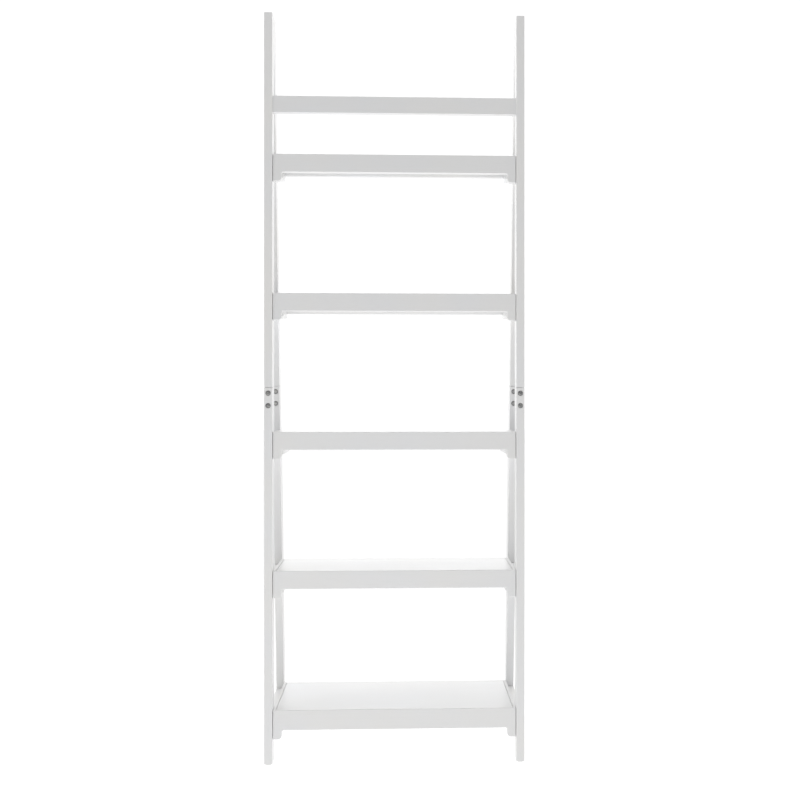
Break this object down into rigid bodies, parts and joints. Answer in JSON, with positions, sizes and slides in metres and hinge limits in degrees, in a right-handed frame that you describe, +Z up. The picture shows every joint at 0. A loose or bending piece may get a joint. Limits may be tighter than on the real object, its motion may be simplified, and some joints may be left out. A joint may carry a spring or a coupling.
{
  "type": "ladder shelf",
  "caption": "Free-standing A-frame ladder shelf with bolted two-part legs, panelled trays that get deeper towards the floor, and a top rail.",
  "frame": {"origin": "on the floor, midway between the side frames and midway in depth at the feet", "axes": "+Z up, +Y towards the back, +X to the right seen from the front"},
  "size_m": [0.625, 0.32, 1.8],
  "materials": {
    "frame_paint": "white satin paint on pine",
    "board_paint": "white satin paint on pine",
    "panel_paint": "white satin paint on fibreboard",
    "bolt_steel": "zinc-plated",
    "insert_steel": "zinc-plated",
    "dowel_wood": "bare beech",
    "glide_plastic": "matte"
  },
  "bodies": {
    "root": {"apex_bolts": "bolt_steel", "apex_inserts": "insert_steel", "apron_dowels": "dowel_wood", "foot_glides": "glide_plastic", "frame_dowels": "dowel_wood", "left_front_leg_lower": "frame_paint", "left_front_leg_upper": "frame_paint", "left_rear_leg_lower": "frame_paint", "left_rear_leg_upper": "frame_paint", "left_side_rail_1": "frame_paint", "left_side_rail_2": "frame_paint", "left_side_rail_3": "frame_paint", "left_side_rail_4": "frame_paint", "left_side_rail_5": "frame_paint", "leg_joint_bolts": "bolt_steel", "leg_joint_inserts": "insert_steel", "rear_board_dowels": "dowel_wood", "right_front_leg_lower": "frame_paint", "right_front_leg_upper": "frame_paint", "right_rear_leg_lower": "frame_paint", "right_rear_leg_upper": "frame_paint", "right_side_rail_1": "frame_paint", "right_side_rail_2": "frame_paint", "right_side_rail_3": "frame_paint", "right_side_rail_4": "frame_paint", "right_side_rail_5": "frame_paint", "side_rail_dowels": "dowel_wood", "top_rail": "board_paint", "top_rail_bolts": "bolt_steel", "top_rail_inserts": "insert_steel", "tray_1_front_apron": "board_paint", "tray_1_left_side": "board_paint", "tray_1_panel": "panel_paint", "tray_1_rear_board": "board_paint", "tray_1_right_side": "board_paint", "tray_2_front_apron": "board_paint", "tray_2_left_side": "board_paint", "tray_2_panel": "panel_paint", "tray_2_rear_board": "board_paint", "tray_2_right_side": "board_paint", "tray_3_front_apron": "board_paint", "tray_3_left_side": "board_paint", "tray_3_panel": "panel_paint", "tray_3_rear_board": "board_paint", "tray_3_right_side": "board_paint", "tray_4_front_apron": "board_paint", "tray_4_left_side": "board_paint", "tray_4_panel": "panel_paint", "tray_4_rear_board": "board_paint", "tray_4_right_side": "board_paint", "tray_5_front_apron": "board_paint", "tray_5_left_side": "board_paint", "tray_5_panel": "panel_paint", "tray_5_rear_board": "board_paint", "tray_5_right_side": "board_paint", "tray_bolts": "bolt_steel", "tray_inserts": "insert_steel"}
  },
  "joints": []
}
